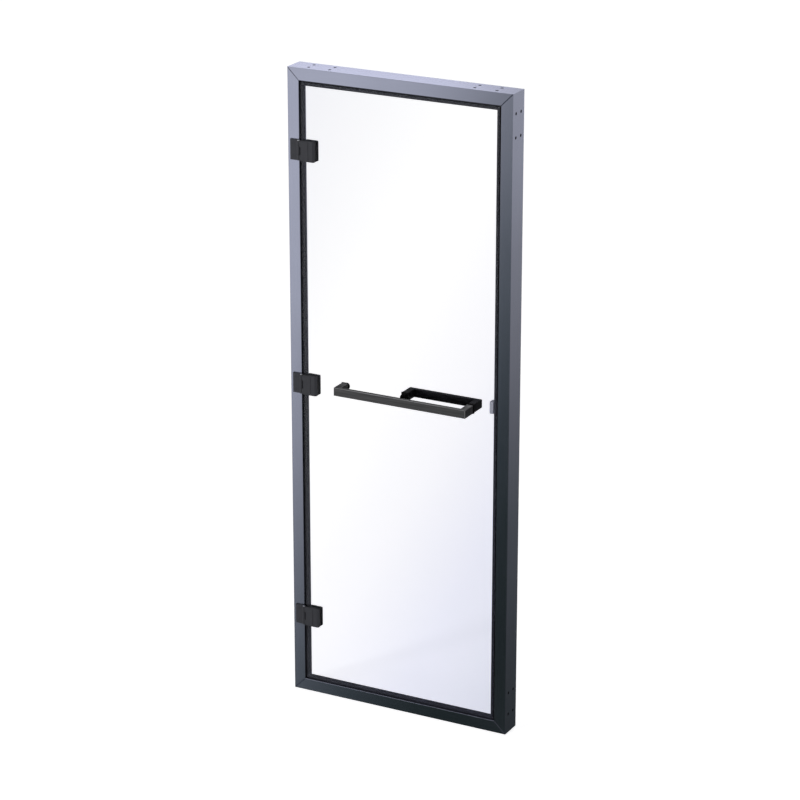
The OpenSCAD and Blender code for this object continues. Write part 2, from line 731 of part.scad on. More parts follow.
// Housing: a body screwed to the jamb behind the stop, with a nose that holds the magnet
module catch_housing() color(catch_grey) latch_side() difference() {
  corner = catch_d / 3;
  translate([0, 0, catch_z]) linear_extrude(catch_h, center = true)
    polygon([[rear_w, catch_body_front], [nose_u0, catch_body_front], [nose_u0, nose_front],
             [nose_u1, nose_front], [nose_u1, catch_body_back - corner],
             [nose_u1 - corner, catch_body_back], [rear_w, catch_body_back]]);
  translate([nose_u0 + magnet_rim - fit, nose_front - over, catch_z - magnet_h / 2 - fit])
    cube([magnet_w + 2 * fit, magnet_t + over, magnet_h + 2 * fit]);
  at_catch_screws() {
    cylinder(nose_u1, d = catch_screw_head + 4 * fit);
    translate([0, 0, -catch_grip_t - over])
      cylinder(catch_grip_t + 2 * over, d = catch_screw_d + 2 * fit);
  }
}

module catch_magnet() color(steel) latch_side()
  translate([nose_u0 + magnet_rim, nose_front + fit, catch_z - magnet_h / 2])
    cube([magnet_w, magnet_t - fit, magnet_h]);

// Pan head screws of the catch
module catch_screws() color(steel) latch_side() at_catch_screws() difference() {
  union() {
    cylinder(catch_screw_head_t, d = catch_screw_head);
    translate([0, 0, -catch_grip_t - wall_t - catch_screw_bite])
      cylinder(catch_grip_t + wall_t + catch_screw_bite + catch_screw_head_t / 2, d = catch_screw_d);
  }
  translate([0, 0, catch_screw_head_t / 2]) cylinder(catch_screw_head_t, d = catch_screw_d * 0.6, $fn = 6);
}

// Steel plate on the glass that the magnet holds
module strike_plate() color(catch_grey) latch_side() translate([0, 0, catch_z])
  mirror([0, 1, 0])
    bevelled_plate(nose_u0, nose_u1, catch_h, -glass_back - strike_t, -glass_back, strike_t / 3);

frame_head();
frame_sill();
hinge_jamb();
latch_jamb();
corner_cleat_top_left();
corner_cleat_top_right();
corner_cleat_bottom_left();
corner_cleat_bottom_right();
corner_screws();
seal_head();
seal_sill();
seal_hinge_side();
seal_latch_side();
hinge_leaf_top();
hinge_leaf_middle();
hinge_leaf_bottom();
hinge_pin_top();
hinge_pin_middle();
hinge_pin_bottom();
hinge_backing_plates();
hinge_leaf_screws();
catch_housing();
catch_magnet();
catch_screws();
glass_pane();
clamp_front_top();
clamp_front_middle();
clamp_front_bottom();
clamp_back_top();
clamp_back_middle();
clamp_back_bottom();
clamp_gaskets_outer();
clamp_gaskets_inner();
clamp_sleeves();
clamp_screws();
hinge_bushes();
towel_bar();
inner_handle();
handle_studs();
handle_sleeves();
handle_rosettes();
towel_bar_cap();
inner_handle_cap();
strike_plate();
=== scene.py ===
"""Looks of a glass steam room door in its frame.

The solids stay where they are and get their finishes here. The seals and the bar handles are replaced by
rounder surfaces of the same form, worked out as arrays. All lengths are in metres, in the frame's own axes:
X from the hinge side to the latch side, Y from the front to the back, Z up.
"""

import logging
import math
from dataclasses import dataclass, field
from enum import Enum

import bmesh
import bpy
import numpy as np
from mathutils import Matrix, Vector

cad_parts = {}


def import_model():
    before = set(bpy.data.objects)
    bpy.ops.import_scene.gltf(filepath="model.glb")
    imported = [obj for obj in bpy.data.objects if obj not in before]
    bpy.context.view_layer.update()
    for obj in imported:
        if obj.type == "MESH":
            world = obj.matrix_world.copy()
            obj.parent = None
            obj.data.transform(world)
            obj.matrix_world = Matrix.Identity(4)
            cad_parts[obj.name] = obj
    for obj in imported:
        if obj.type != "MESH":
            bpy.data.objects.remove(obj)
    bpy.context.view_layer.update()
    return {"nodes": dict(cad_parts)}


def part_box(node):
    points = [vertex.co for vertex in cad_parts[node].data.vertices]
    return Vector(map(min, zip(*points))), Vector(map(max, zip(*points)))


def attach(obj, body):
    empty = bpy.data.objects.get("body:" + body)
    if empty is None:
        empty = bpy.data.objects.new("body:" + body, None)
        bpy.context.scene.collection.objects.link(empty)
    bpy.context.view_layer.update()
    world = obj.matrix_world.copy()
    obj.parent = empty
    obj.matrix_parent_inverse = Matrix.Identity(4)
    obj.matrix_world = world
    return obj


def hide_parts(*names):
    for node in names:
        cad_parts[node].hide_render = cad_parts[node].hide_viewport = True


log = logging.getLogger("steam_room_door")

Colour = tuple[float, float, float]
Point = tuple[float, float, float]
Stop = tuple[float, Colour]
Socket = bpy.types.NodeSocket
Material = bpy.types.Material
Piece = bpy.types.Object

SMOOTH_ANGLE = math.radians(35)
NOISE_DETAIL = 3.0
NOISE_RANGE = (0.3, 0.7)
# Name of the points' share of the painted edge highlight.
PAINTED_HIGHLIGHT = "edge_highlight"
X_AXIS: Point = (1.0, 0.0, 0.0)
Y_AXIS: Point = (0.0, 1.0, 0.0)
Z_AXIS: Point = (0.0, 0.0, 1.0)


class Grain(Enum):
    """Direction in which a surface was drawn or brushed, as its pattern's scale along X, Y and Z."""

    ALONG_X = (0.02, 1.0, 1.0)
    ALONG_Z = (1.0, 1.0, 0.02)
    NONE = (1.0, 1.0, 1.0)


class Side(Enum):
    """The four sides of the door's opening."""

    HINGE = "hinge_side"
    LATCH = "latch_side"
    HEAD = "head"
    SILL = "sill"


class Place(Enum):
    """The three hinges, by their height on the jamb."""

    TOP = "top"
    MIDDLE = "middle"
    BOTTOM = "bottom"


class Face(Enum):
    """The two faces of the glass, by the direction along Y in which each of them looks."""

    OUTSIDE = -1.0
    INSIDE = 1.0


def grey(level: float) -> Colour:
    """A neutral tone."""
    return (level, level, level)


def shaded(colour: Colour, factor: float) -> Colour:
    """The colour, darker or lighter by a factor."""
    return tuple(channel * factor for channel in colour)


class Nodes:
    """Short calls that add nodes to a material's or the world's tree."""

    def __init__(self, tree: bpy.types.NodeTree) -> None:
        """Keeps the tree."""
        self.tree = tree

    def node(self, kind: str, **settings: object) -> bpy.types.Node:
        """Adds a node.

        Args:
            kind: The node's type.
            settings: The node's properties, by name.

        Returns:
            The new node.
        """
        made = self.tree.nodes.new(kind)
        for name, value in settings.items():
            setattr(made, name, value)
        return made

    def math(self, operation: str, first: Socket | float, second: Socket | float) -> Socket:
        """Joins two values by an operation.

        Args:
            operation: The operation's name.
            first: An output or a number.
            second: An output or a number.

        Returns:
            The result's output.
        """
        made = self.node("ShaderNodeMath", operation=operation)
        for socket, value in zip(made.inputs, (first, second)):
            if isinstance(value, bpy.types.NodeSocket):
                self.tree.links.new(value, socket)
            else:
                socket.default_value = value
        return made.outputs["Value"]

    def sight(self) -> tuple[Socket, Socket]:
        """Tells rays apart.

        A ray is seen if it comes from the camera, straight or through glass, and is a mirrored one after any
        reflection.

        Returns:
            One for a seen ray, and one for a mirrored ray; both are zero for rays that only carry light.
        """
        path = self.node("ShaderNodeLightPath")
        mirrored = self.math("MINIMUM", path.outputs["Glossy Depth"], 1.0)
        direct = self.math("MAXIMUM", path.outputs["Is Camera Ray"], path.outputs["Is Transmission Ray"])
        return self.math("MULTIPLY", direct, self.math("SUBTRACT", 1.0, mirrored)), mirrored


class Shader(Nodes):
    """A material with a Principled surface, and short calls that add nodes in front of it."""

    def __init__(self, name: str, sockets: dict[str, float | tuple]) -> None:
        """Makes the material.

        Args:
            name: The material's name.
            sockets: Values that are the same all over the surface, by socket name.
        """
        self.material: Material = bpy.data.materials.new(name)
        self.material.use_nodes = True
        super().__init__(self.material.node_tree)
        self.surface = self.tree.nodes["Principled BSDF"]
        for socket, value in sockets.items():
            self.surface.inputs[socket].default_value = value

    def feed(self, output: Socket, socket: str) -> None:
        """Links an output to one of the surface's sockets."""
        self.tree.links.new(output, self.surface.inputs[socket])

    def place(self, grain: Grain = Grain.NONE) -> Socket:
        """Object coordinates, stretched along the grain.

        Args:
            grain: The direction of the pattern that the coordinates are for.

        Returns:
            The coordinates' output.
        """
        source = self.node("ShaderNodeTexCoord")
        stretch = self.node("ShaderNodeMapping")
        stretch.inputs["Scale"].default_value = grain.value
        self.tree.links.new(source.outputs["Object"], stretch.inputs["Vector"])
        return stretch.outputs["Vector"]

    def noise(self, place: Socket, scale: float) -> Socket:
        """Noise from 0 to 1.

        Args:
            place: The coordinates.
            scale: The number of features in a metre.

        Returns:
            The noise's output.
        """
        made = self.node("ShaderNodeTexNoise")
        made.inputs["Scale"].default_value = scale
        made.inputs["Detail"].default_value = NOISE_DETAIL
        self.tree.links.new(place, made.inputs["Vector"])
        return made.outputs["Fac"]

    def along(self, direction: Point) -> Socket:
        """How far a point lies along a direction.

        Args:
            direction: The direction, whose length scales the result.

        Returns:
            The output of the point's product with the direction.
        """
        source = self.node("ShaderNodeTexCoord")
        made = self.node("ShaderNodeVectorMath", operation="DOT_PRODUCT")
        self.tree.links.new(source.outputs["Object"], made.inputs[0])
        made.inputs[1].default_value = direction
        return made.outputs["Value"]

    def span(
        self, value: Socket, low: float, high: float, to_low: float = 0.0, to_high: float = 1.0
    ) -> Socket:
        """Carries a value over from one range to another, and holds it there.

        Args:
            value: The value's output.
            low: The first range's start.
            high: The first range's end.
            to_low: The second range's start.
            to_high: The second range's end.

        Returns:
            The new value's output.
        """
        made = self.node("ShaderNodeMapRange")
        numbers = {"From Min": low, "From Max": high, "To Min": to_low, "To Max": to_high}
        for socket, number in numbers.items():
            made.inputs[socket].default_value = number
        self.tree.links.new(value, made.inputs["Value"])
        return made.outputs["Result"]

    def attribute(self, name: str) -> Socket:
        """A value that the piece's points carry."""
        return self.node("ShaderNodeAttribute", attribute_name=name).outputs["Fac"]

    def lightened(self, colour: Socket, share: Socket) -> Socket:
        """A colour times one plus a share.

        Args:
            colour: The colour's output.
            share: The share's output.

        Returns:
            The new colour's output.
        """
        made = self.node("ShaderNodeVectorMath", operation="SCALE")
        self.tree.links.new(colour, made.inputs[0])
        self.tree.links.new(self.math("ADD", 1.0, share), made.inputs["Scale"])
        return made.outputs["Vector"]

    def ramp(self, value: Socket, stops: tuple[Stop, ...]) -> Socket:
        """Colours a value.

        Args:
            value: The value's output.
            stops: The colours and their places, in the value's own units and in rising order.

        Returns:
            The colour's output.
        """
        low, high = stops[0][0], stops[-1][0]
        made = self.node("ShaderNodeValToRGB")
        elements = made.color_ramp.elements
        while len(elements) < len(stops):
            elements.new(1.0)
        for element, (at, colour) in zip(elements, stops):
            element.position = (at - low) / (high - low)
            element.color = (*colour, 1.0)
        self.tree.links.new(self.span(value, low, high), made.inputs["Fac"])
        return made.outputs["Color"]

    def mottled(self, noise: Socket, colour: Colour, share: float) -> Socket:
        """A colour that noise darkens and lightens.

        Args:
            noise: The noise's output.
            colour: The colour in the middle.
            share: How much darker and lighter it gets.

        Returns:
            The colour's output.
        """
        low, high = NOISE_RANGE
        return self.ramp(noise, ((low, shaded(colour, 1 - share)), (high, shaded(colour, 1 + share))))

    def bump(self, height: Socket, depth: float) -> None:
        """Roughens the surface.

        Args:
            height: The output of the height pattern.
            depth: The pattern's depth.
        """
        made = self.node("ShaderNodeBump")
        made.inputs["Strength"].default_value = 1.0
        made.inputs["Distance"].default_value = depth
        self.tree.links.new(height, made.inputs["Height"])
        self.feed(made.outputs["Normal"], "Normal")


@dataclass(frozen=True)
class DrawnMetal:
    """Bare or anodised metal with fine lines along its length and a faint cloud in its tone."""

    name: str
    colour: Colour
    grain: Grain
    roughness: tuple[float, float]
    lines_per_m: float = 700.0
    line_depth: float = 4e-6
    cloud_per_m: float = 5.0
    cloud: float = 0.04

    def material(self) -> Material:
        """Builds the finish.

        Returns:
            The new material.
        """
        shader = Shader(self.name, {"Metallic": 1.0})
        clouds = shader.noise(shader.place(), self.cloud_per_m)
        shader.feed(shader.mottled(clouds, self.colour, self.cloud), "Base Color")
        lines = shader.noise(shader.place(self.grain), self.lines_per_m)
        shader.feed(shader.span(lines, *NOISE_RANGE, *self.roughness), "Roughness")
        shader.bump(lines, self.line_depth)
        return shader.material


@dataclass(frozen=True)
class Coat:
    """Paint, plastic or rubber: a fine skin pattern in bump, tone and gloss, and edges lightened by a painted
    highlight.
    """

    name: str
    colour: Colour
    roughness: tuple[float, float]
    grain: Grain = Grain.NONE
    skin_per_m: float = 1800.0
    skin_depth: float = 1.5e-5
    skin_per_patch: float = 40.0
    tone: float = 0.12
    specular: float = 0.5
    soft: float = 0.0
    soft_depth: float = 0.002
    # How much lighter the rounded edges get: a painted highlight.
    highlight_gain: float = 0.0

    def material(self) -> Material:
        """Builds the finish.

        Returns:
            The new material.
        """
        sockets = {
            "Specular IOR Level": self.specular,
            "Subsurface Weight": self.soft,
            "Subsurface Scale": self.soft_depth,
        }
        shader = Shader(self.name, sockets)
        skin = shader.noise(shader.place(self.grain), self.skin_per_m)
        # Painted highlight: the base colour gets lighter on the rounded edges.
        edge_highlight = shader.math("MULTIPLY", shader.attribute(PAINTED_HIGHLIGHT), self.highlight_gain)
        shader.feed(shader.lightened(shader.mottled(skin, self.colour, self.tone), edge_highlight), "Base Color")
        patches = shader.noise(shader.place(self.grain), self.skin_per_m / self.skin_per_patch)
        shader.feed(shader.span(patches, *NOISE_RANGE, *self.roughness), "Roughness")
        shader.bump(skin, self.skin_depth)
        return shader.material


@dataclass(frozen=True)
class Pane:
    """Clear glass with a thin coat against glare, and painted reflection and shade in its colour along a
    slant.
    """

    name: str
    slant: Point
    painted_reflection_tones: tuple[Stop, ...]
    ior: float = 1.5
    gloss: float = 0.15

    def material(self) -> Material:
        """Builds the finish.

        Returns:
            The new material.
        """
        sockets = {
            "Transmission Weight": 1.0,
            "Roughness": 0.0,
            "IOR": self.ior,
            "Specular Tint": (*grey(self.gloss), 1.0),
        }
        shader = Shader(self.name, sockets)
        # Painted reflection and shade: the base colour changes along the slant.
        shader.feed(shader.ramp(shader.along(self.slant), self.painted_reflection_tones), "Base Color")
        return shader.material


Finish = DrawnMetal | Coat | Pane

SLATE = (0.328, 0.345, 0.438)
SMOOTH_DRAWN = (0.20, 0.26)
SATIN = (0.38, 0.50)
BRUSHED_PER_M = 420.0

JAMB_METAL = DrawnMetal("jamb_metal", SLATE, Grain.ALONG_Z, SMOOTH_DRAWN)
RAIL_METAL = DrawnMetal("rail_metal", SLATE, Grain.ALONG_X, SMOOTH_DRAWN)
CLEAT_METAL = DrawnMetal("cleat_metal", (0.62, 0.62, 0.64), Grain.NONE, (0.3, 0.45))
STEEL = DrawnMetal("brushed_steel", (0.58, 0.58, 0.60), Grain.ALONG_Z, (0.22, 0.36))
HINGE_BLACK = Coat("hinge_black", (0.047, 0.048, 0.055), (0.42, 0.52), specular=0.2)
# The handle's lighter edges are a painted highlight.
HANDLE_BLACK = Coat(
    "handle_black",
    (0.063, 0.063, 0.065),
    SATIN,
    Grain.ALONG_X,
    BRUSHED_PER_M,
    tone=0.30,
    specular=0.2,
    highlight_gain=4.0,
)
# A darker copy of the handle's black for the handle behind the glass: painted shade. Its lighter edges are a
# painted highlight.
SHADED_HANDLE_BLACK = Coat(
    "handle_black_painted_shade",
    (0.006, 0.006, 0.007),
    SATIN,
    Grain.ALONG_X,
    BRUSHED_PER_M,
    tone=0.30,
    specular=0.06,
    highlight_gain=2.0,
)
SCREW_BLACK = Coat("screw_black", (0.006, 0.006, 0.008), (0.60, 0.70), specular=0.0)
SEAL_RUBBER = Coat("seal_rubber", (0.034, 0.035, 0.042), (0.60, 0.75), specular=0.1)
GASKET_RUBBER = Coat("gasket_rubber", (0.010, 0.010, 0.011), (0.6, 0.75), specular=0.2)
CATCH_PLASTIC = Coat("catch_plastic", (0.34, 0.35, 0.40), (0.40, 0.50), tone=0.05)
STRIKE_GREY = Coat("strike_grey", (0.46, 0.47, 0.52), (0.35, 0.45), tone=0.05)
NYLON = Coat("white_nylon", (0.72, 0.72, 0.70), (0.42, 0.52), tone=0.03, soft=0.2)
BUSH_NYLON = Coat("bush_nylon", (0.020, 0.020, 0.021), (0.45, 0.55))
# The glass's tones are painted reflection and shade: a white band across the middle, darker lavender-grey
# towards the lower latch corner and a little grey towards the upper hinge corner.
CLEAR_GLASS = Pane(
    "clear_glass",
    slant=(-1.9, 0.0, 1.0),
    painted_reflection_tones=(
        (-0.5, (0.67, 0.685, 0.775)),
        (0.05, (0.76, 0.77, 0.865)),
        (0.6, (0.90, 0.90, 0.94)),
        (1.3, (1.0, 1.0, 1.0)),
        (2.4, (0.85, 0.855, 0.89)),
    ),
)


def corners(node: str) -> np.ndarray:
    """A node's lowest and highest corner, as two rows."""
    return np.array([list(corner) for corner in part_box(node)])


def closed_tube(rings: np.ndarray) -> tuple[np.ndarray, list[list[int]]]:
    """A tube through closed rings, filled at its first and last ring.

    Quad (i, j) joins points j and j + 1 of rings i and i + 1, with the last point next to the first. The two
    fillings are the last faces.

    Args:
        rings: The rings' points, as rings by points by three.

    Returns:
        The points as rows, and the faces as lists of row numbers.
    """
    count, around, _ = rings.shape
    row, step = np.meshgrid(np.arange(count - 1), np.arange(around), indexing="ij")
    after = (step + 1) % around
    here, there = row * around, (row + 1) * around
    quads = np.stack([here + step, here + after, there + after, there + step], axis=-1).reshape(-1, 4)
    ring = np.arange(around)
    caps = [ring[::-1].tolist(), (ring + (count - 1) * around).tolist()]
    return rings.reshape(-1, 3), [*quads.tolist(), *caps]


def rounded_outline(polygon: np.ndarray, radius: float, steps: int) -> np.ndarray:
    """An outline with an arc in place of each corner.

    At a corner where the outline turns by an angle t, the arc starts radius * tan(t / 2) before the corner
    and turns by t about a centre at radius beside its start, so each arc point is that start turned by a
    share of t.

    Args:
        polygon: The corners in order, as rows of two.
        radius: The arcs' radius.
        steps: The number of points on an arc.

    Returns:
        The outline's points in order, as rows of two.
    """
    arriving = polygon - np.roll(polygon, 1, axis=0)
    arriving /= np.linalg.norm(arriving, axis=1, keepdims=True)
    leaving = np.roll(arriving, -1, axis=0)
    cross = arriving[:, 0] * leaving[:, 1] - arriving[:, 1] * leaving[:, 0]
    turn = np.arctan2(cross, (arriving * leaving).sum(axis=1))
    start = polygon - arriving * (radius * np.tan(np.abs(turn) / 2))[:, None]
    beside = np.stack([-arriving[:, 1], arriving[:, 0]], axis=1) * np.sign(turn)[:, None]
    centre = start + beside * radius
    angle = turn[:, None] * np.linspace(0, 1, steps)[None, :]
    arm = (start - centre)[:, None, :]
    turned = np.stack(
        [
            arm[..., 0] * np.cos(angle) - arm[..., 1] * np.sin(angle),
            arm[..., 0] * np.sin(angle) + arm[..., 1] * np.cos(angle),
        ],
        axis=-1,
    )
    return (centre[:, None, :] + turned).reshape(-1, 2)


def drawn_in(outline: np.ndarray, depth: np.ndarray) -> np.ndarray:
    """An outline drawn in by several depths at once.

    Each point moves along the bisector of its two edges' inward normals, by depth / cos(half the turn there).

    Args:
        outline: The points in order, counter-clockwise, as rows of two.
        depth: The depths, one for each result.

    Returns:
        The drawn-in outlines, as depths by points by two.
    """
    edge = np.roll(outline, -1, axis=0) - outline
    edge /= np.linalg.norm(edge, axis=1, keepdims=True)
    normal = np.stack([-edge[:, 1], edge[:, 0]], axis=1)
    before = np.roll(normal, 1, axis=0)
    bisector = normal + before
    bisector /= (1 + (normal * before).sum(axis=1))[:, None]
    return outline[None] + depth[:, None, None] * bisector[None]


def soft_prism(outline: np.ndarray, height: float, radius: float, steps: int) -> np.ndarray:
    """Rings of an upright prism whose top and bottom edges are quarter rounds.

    Ring k of an edge lies radius * (1 - sin a) below the end and is drawn in by radius * (1 - cos a), where a
    runs from a quarter turn to zero, and the rings of the other end are the same in reverse.

    Args:
        outline: The prism's outline, counter-clockwise, as rows of two.
        height: The prism's height, centred on zero.
        radius: The radius of the rounded edges.
        steps: The number of rings on each edge.

    Returns:
        The rings from bottom to top, as rings by points by three.
    """
    angle = np.linspace(math.pi / 2, 0, steps)
    depth = radius * (1 - np.cos(angle))
    level = height / 2 - radius * (1 - np.sin(angle))
    depths = np.concatenate([depth, depth[::-1]])
    levels = np.concatenate([-level, level[::-1]])
    flat = drawn_in(outline, depths)
    tall = np.broadcast_to(levels[:, None, None], (*flat.shape[:2], 1))
    return np.concatenate([flat, tall], axis=-1)


def edge_highlight_share(corner_count: int, corner_steps: int, edge_steps: int) -> np.ndarray:
    """How much painted highlight each point of a soft prism gets, from 0 on the flats to 1 in the middle of
    each rounded edge.

    It is the sine of half a turn's share along an arc, and the greater of the outline's and the rings' share.

    Args:
        corner_count: The number of corners in the outline.
        corner_steps: The number of points on a corner's arc.
        edge_steps: The number of rings on a rounded end.

    Returns:
        The painted highlight's share, as rings by points.
    """
    around = np.tile(np.sin(np.linspace(0, math.pi, corner_steps)), corner_count)
    edge = np.sin(np.linspace(0, math.pi, edge_steps))
    return np.maximum(np.tile(edge, 2)[:, None], around[None, :])


def new_piece(
    name: str, rings: np.ndarray, material: Material, slot: str, body: str, *replaced: str
) -> Piece:
    """Makes a closed piece from rings and sets it on its body.

    Args:
        name: The piece's name.
        rings: The rings' points, as rings by points by three.
        material: The piece's finish.
        slot: The record's material slot; not used.
        body: The body that the piece moves with.
        replaced: The solids that the piece stands for.

    Returns:
        The new object.
    """
    points, faces = closed_tube(rings)
    mesh = bpy.data.meshes.new(name)
    mesh.from_pydata(points.tolist(), [], faces)
    work = bmesh.new()
    work.from_mesh(mesh)
    bmesh.ops.recalc_face_normals(work, faces=work.faces)
    work.to_mesh(mesh)
    work.free()
    mesh.shade_smooth()
    mesh.set_sharp_from_angle(angle=SMOOTH_ANGLE)
    for cap in mesh.polygons[-2:]:
        cap.use_smooth = False
    mesh.materials.append(material)
    piece = bpy.data.objects.new(name, mesh)
    bpy.context.scene.collection.objects.link(piece)
    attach(piece, body)
    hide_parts(*replaced)
    log.info("%s: %d points, stands for %s", name, len(points), ", ".join(replaced))
    return piece


@dataclass
class Wardrobe:
    """Dresses solids, and makes each finish only once."""

    nodes: dict[str, Piece]
    made: dict[str, Material] = field(default_factory=dict)

    def finish(self, finish: Finish) -> Material:
        """A finish's material.

        Args:
            finish: The finish.

        Returns:
            The material, which is made on the first call.
        """
        if finish.name not in self.made:
            self.made[finish.name] = finish.material()
        return self.made[finish.name]

    def dress(self, finish: Finish, *names: str) -> None:
        """Gives solids a finish.

        Args:
            finish: The finish.
            names: The solids' nodes.
        """
        for name in names:
            slots = self.nodes[name].data.materials
            slots.clear()
            slots.append(self.finish(finish))
            log.info("%s: %s", name, finish.name)


@dataclass
class Frame:
    """The four lengths of hollow profile, with what joins their corners."""

    wardrobe: Wardrobe

    def dress(self) -> None:
        """Gives the profile its drawn metal, along each length, and the corner joints theirs."""
        self.wardrobe.dress(JAMB_METAL, "hinge_jamb", "latch_jamb")
        self.wardrobe.dress(RAIL_METAL, "frame_head", "frame_sill")
        cleats = [f"corner_cleat_{end}_{side}" for end in ("top", "bottom") for side in ("left", "right")]
        self.wardrobe.dress(CLEAT_METAL, *cleats)
        self.wardrobe.dress(SCREW_BLACK, "corner_screws")


@dataclass
class Seal:
    """The black seal on the stop: a strip with two round beads, a tongue and a lip, mitred at the corners."""

    wardrobe: Wardrobe
    bead_radius: float = 0.0017
    bead_share: float = 0.25
    bead_steps: int = 11
    edge_radius: float = 0.0006
    edge_steps: int = 4
    strip: float = 0.0020
    lip: float = 0.0012
    slope: float = 0.0030
    tongue_depth: float = 0.0019
    tongue_width: float = 0.0038
    tongue_shift: float = -0.00015

    def section(self, across: tuple[float, float], depth: tuple[float, float]) -> np.ndarray:
        """The seal's closed outline, from its outer to its inner edge and back.

        Each bead is half a circle on the strip's front, and the strip's two front edges are quarter rounds.

        Args:
            across: The seal's outer and inner edge, measured in from the frame's outer side.
            depth: The beads' front and the lip's back, as places along Y.

        Returns:
            The outline's points, as rows of distance in and place along Y.
        """
        low, high = across
        stop = high - self.lip
        middle, quarter = (low + stop) / 2, (stop - low) * self.bead_share
        face = depth[0] + self.bead_radius
        back = face + self.strip
        half = np.linspace(math.pi, 0, self.bead_steps)
        bead = np.stack([np.cos(half), -np.sin(half)], axis=1) * self.bead_radius
        bend = np.linspace(0, math.pi / 2, self.edge_steps)
        edge = self.edge_radius * np.stack([1 - np.cos(bend), 1 - np.sin(bend)], axis=1)
        left, right = middle + self.tongue_shift + self.tongue_width / 2 * np.array([-1, 1])
        tongue = back + self.tongue_depth
        return np.concatenate(
            [
                np.array([low, face]) + edge,
                np.array([middle - quarter, face]) + bead,
                np.array([middle + quarter, face]) + bead,
                np.array([high, face]) + edge[::-1] * (-1, 1),
                [[high, back], [high - self.slope, depth[1]], [stop - self.slope, depth[1]], [stop, back]],
                [[right, back], [right, tongue], [left, tongue], [left, back], [low, back]],
            ]
        )

    def rings(self, side: Side) -> np.ndarray:
        """The section at both mitred ends of a side.

        A mitre cuts each point of the section where its run from the corner equals its distance in.

        Args:
            side: The side of the opening.

        Returns:
            The two rings, as rings by points by three.
        """
        (x_low, y_low, z_low), (x_high, y_high, z_high) = corners(f"seal_{side.value}")
        left, right = corners("frame_head")[:, 0]
        bottom, top = corners("frame_sill")[0, 2], corners("frame_head")[1, 2]
        inward = {
            Side.HINGE: (x_low - left, x_high - left),
            Side.LATCH: (right - x_high, right - x_low),
            Side.SILL: (z_low - bottom, z_high - bottom),
            Side.HEAD: (top - z_high, top - z_low),
        }[side]
        run, along_y = self.section(inward, (y_low, y_high)).T
        ends = {
            Side.HINGE: ((left + run, bottom + run), (left + run, top - run)),
            Side.LATCH: ((right - run, bottom + run), (right - run, top - run)),
            Side.SILL: ((left + run, bottom + run), (right - run, bottom + run)),
            Side.HEAD: ((left + run, top - run), (right - run, top - run)),
        }[side]
        return np.stack([np.stack([x, along_y, z], axis=1) for x, z in ends])

    def build(self) -> None:
        """Makes one strip for each side."""
        rubber = self.wardrobe.finish(SEAL_RUBBER)
        for side in Side:
            name = f"seal_{side.value}"
            new_piece(f"soft_{name}", self.rings(side), rubber, "seal_rubber", "frame", name)


@dataclass
class Hinges:
    """Leaves on the jamb, pins, bushes, and the clamps that hold the glass."""

    wardrobe: Wardrobe

    def dress(self) -> None:
        """Gives the plates and screws satin black, and the pins, bushes and gaskets their own finishes."""
        kinds = ("hinge_leaf", "clamp_front", "clamp_back")
        plates = [f"{kind}_{place.value}" for place in Place for kind in kinds]
        self.wardrobe.dress(HINGE_BLACK, *plates, "hinge_leaf_screws", "clamp_screws")
        self.wardrobe.dress(STEEL, *(f"hinge_pin_{place.value}" for place in Place), "hinge_backing_plates")
        self.wardrobe.dress(GASKET_RUBBER, "clamp_gaskets_outer", "clamp_gaskets_inner")
        self.wardrobe.dress(NYLON, "clamp_sleeves")
        self.wardrobe.dress(BUSH_NYLON, "hinge_bushes")


@dataclass
class Glass:
    """The pane, which lets light through and casts no shadow of its own."""

    wardrobe: Wardrobe

    def dress(self) -> None:
        """Gives the pane its glass."""
        self.wardrobe.dress(CLEAR_GLASS, "glass_pane")
        self.wardrobe.nodes["glass_pane"].visible_shadow = False


